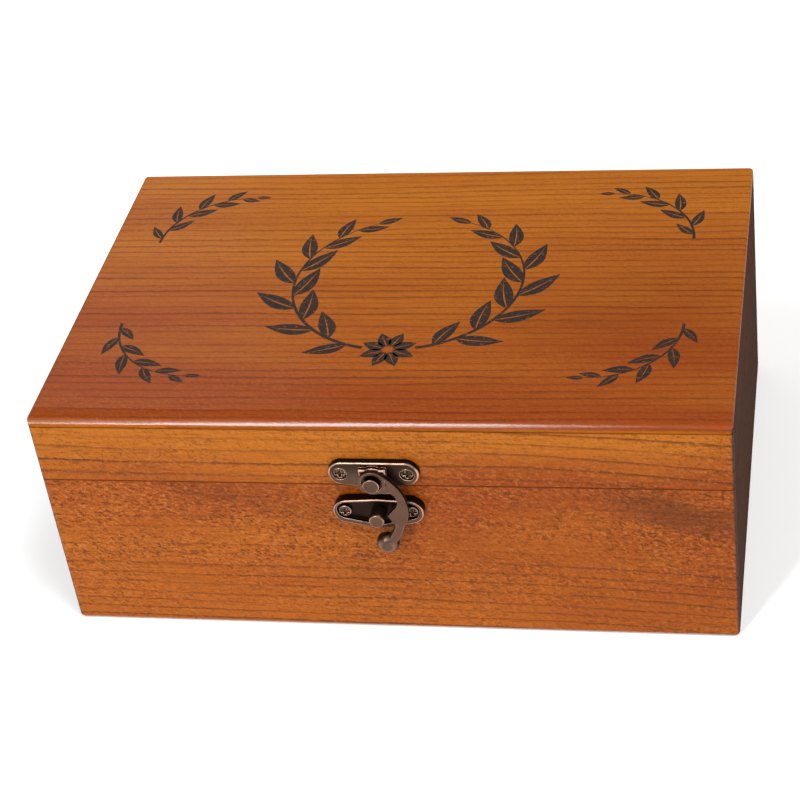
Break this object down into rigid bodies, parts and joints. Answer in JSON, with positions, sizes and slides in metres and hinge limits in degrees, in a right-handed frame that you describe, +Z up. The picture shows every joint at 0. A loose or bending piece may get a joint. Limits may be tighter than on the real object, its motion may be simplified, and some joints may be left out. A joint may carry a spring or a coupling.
{
  "type": "hinged wooden storage box",
  "caption": "Rectangular stained wooden keepsake box with a lid hinged at the back, a rounded front top edge and a bronze swing-hook latch on the front.",
  "frame": {"origin": "middle of the box's underside, on the surface that it stands on", "axes": "+X along the length to the right as seen from the front, -Y towards the front with the latch, +Z up"},
  "size_m": [0.2, 0.1425, 0.077],
  "materials": {
    "stained_wood": "satin varnish over orange-brown stain, fine dark grain along the length",
    "bottom_panel_wood": "thin panel, lightly stained",
    "antique_bronze": "antique bronze, dark in the recesses and rubbed bright on the edges",
    "bronzed_screws": "bronzed cross-head screws",
    "brad_steel": "dull steel brads"
  },
  "bodies": {
    "body": {"body_front_board": "stained_wood", "body_back_board": "stained_wood", "body_left_board": "stained_wood", "body_right_board": "stained_wood", "bottom_panel": "bottom_panel_wood", "bottom_brads": "brad_steel", "hinge_body_leaf_left": "antique_bronze", "hinge_body_leaf_right": "antique_bronze", "hinge_pin_left": "antique_bronze", "hinge_pin_right": "antique_bronze", "hinge_body_screws": "bronzed_screws", "keeper_plate": "antique_bronze", "keeper_stud": "antique_bronze", "keeper_screws": "bronzed_screws"},
    "lid": {"lid_top_panel": "stained_wood", "lid_front_rail": "stained_wood", "lid_back_rail": "stained_wood", "lid_left_rail": "stained_wood", "lid_right_rail": "stained_wood", "hinge_lid_leaf_left": "antique_bronze", "hinge_lid_leaf_right": "antique_bronze", "hinge_lid_screws": "bronzed_screws", "latch_plate": "antique_bronze", "latch_pivot": "antique_bronze", "latch_plate_screws": "bronzed_screws"},
    "hook": {"latch_hook": "antique_bronze"}
  },
  "joints": [
    {"name": "lid_hinge", "type": "hinge", "parent": "body", "child": "lid", "pos_m": [0, 0.068, 0.0546], "axis": [-1, 0, 0], "range_deg": [0, 175]},
    {"name": "latch_swing", "type": "hinge", "parent": "lid", "child": "hook", "pos_m": [0, -0.0701, 0.0591], "axis": [0, -1, 0], "range_deg": [0, 180]}
  ]
}
